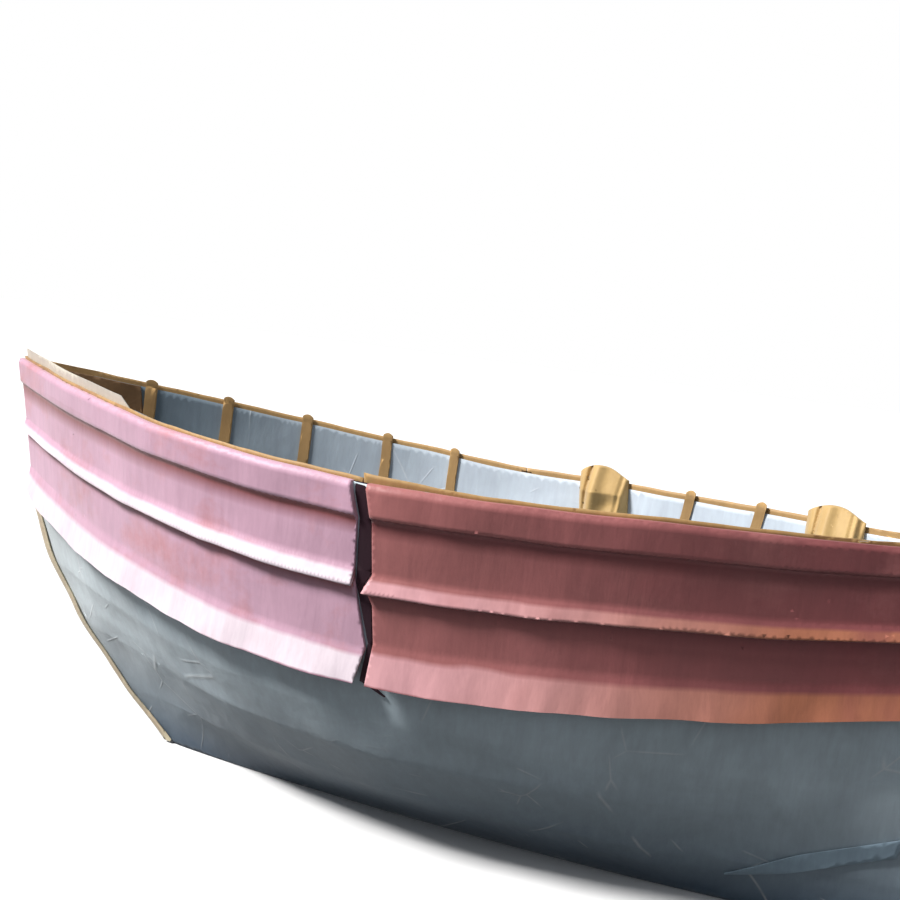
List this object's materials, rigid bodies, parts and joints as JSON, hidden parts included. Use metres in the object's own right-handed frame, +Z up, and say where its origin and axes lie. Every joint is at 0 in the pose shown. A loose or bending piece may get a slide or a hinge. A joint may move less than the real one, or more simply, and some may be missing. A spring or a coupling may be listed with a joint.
{
  "type": "folded paper boat",
  "caption": "Folded paper rowing boat with a ridged band round its sides, pale lining, tan ribs and gunwale strips, and a narrow flat bottom to stand on.",
  "frame": {"origin": "on the resting plane, on the centre line, under the middle of the length", "axes": "+Z up, +X from the bow towards the stern, -Y port"},
  "size_m": [0.3, 0.1128, 0.1085],
  "materials": {
    "hull_paper": "matt",
    "band_forward_paper": "matt with a slight sheen",
    "band_aft_paper": "matt with a slight sheen",
    "joint_paper": "matt",
    "lining_paper": "matt",
    "tan_paper": "matt with a slight sheen",
    "brown_paper": "matt",
    "pale_paper": "matt"
  },
  "bodies": {
    "root": {"band_aft_port": "band_aft_paper", "band_aft_starboard": "band_aft_paper", "band_forward_port": "band_forward_paper", "band_forward_starboard": "band_forward_paper", "bilge_strip_port": "pale_paper", "bilge_strip_starboard": "pale_paper", "bow_apron": "brown_paper", "bow_flap_port": "pale_paper", "gunwale_aft_port": "tan_paper", "gunwale_aft_starboard": "tan_paper", "gunwale_forward_port": "tan_paper", "gunwale_forward_starboard": "tan_paper", "hull": "hull_paper", "joint_strip_port": "joint_paper", "joint_strip_starboard": "joint_paper", "lining_port": "lining_paper", "lining_starboard": "lining_paper", "pad_1": "tan_paper", "pad_2": "tan_paper", "rib_1_port": "tan_paper", "rib_1_starboard": "tan_paper", "rib_2_port": "tan_paper", "rib_2_starboard": "tan_paper", "rib_3_port": "tan_paper", "rib_3_starboard": "tan_paper", "rib_4_port": "tan_paper", "rib_4_starboard": "tan_paper", "rib_5_port": "tan_paper", "rib_5_starboard": "tan_paper", "rib_6_port": "tan_paper", "rib_6_starboard": "tan_paper", "rib_7_port": "tan_paper", "rib_7_starboard": "tan_paper", "stem_binding": "tan_paper", "stern_binding": "tan_paper"}
  },
  "joints": []
}
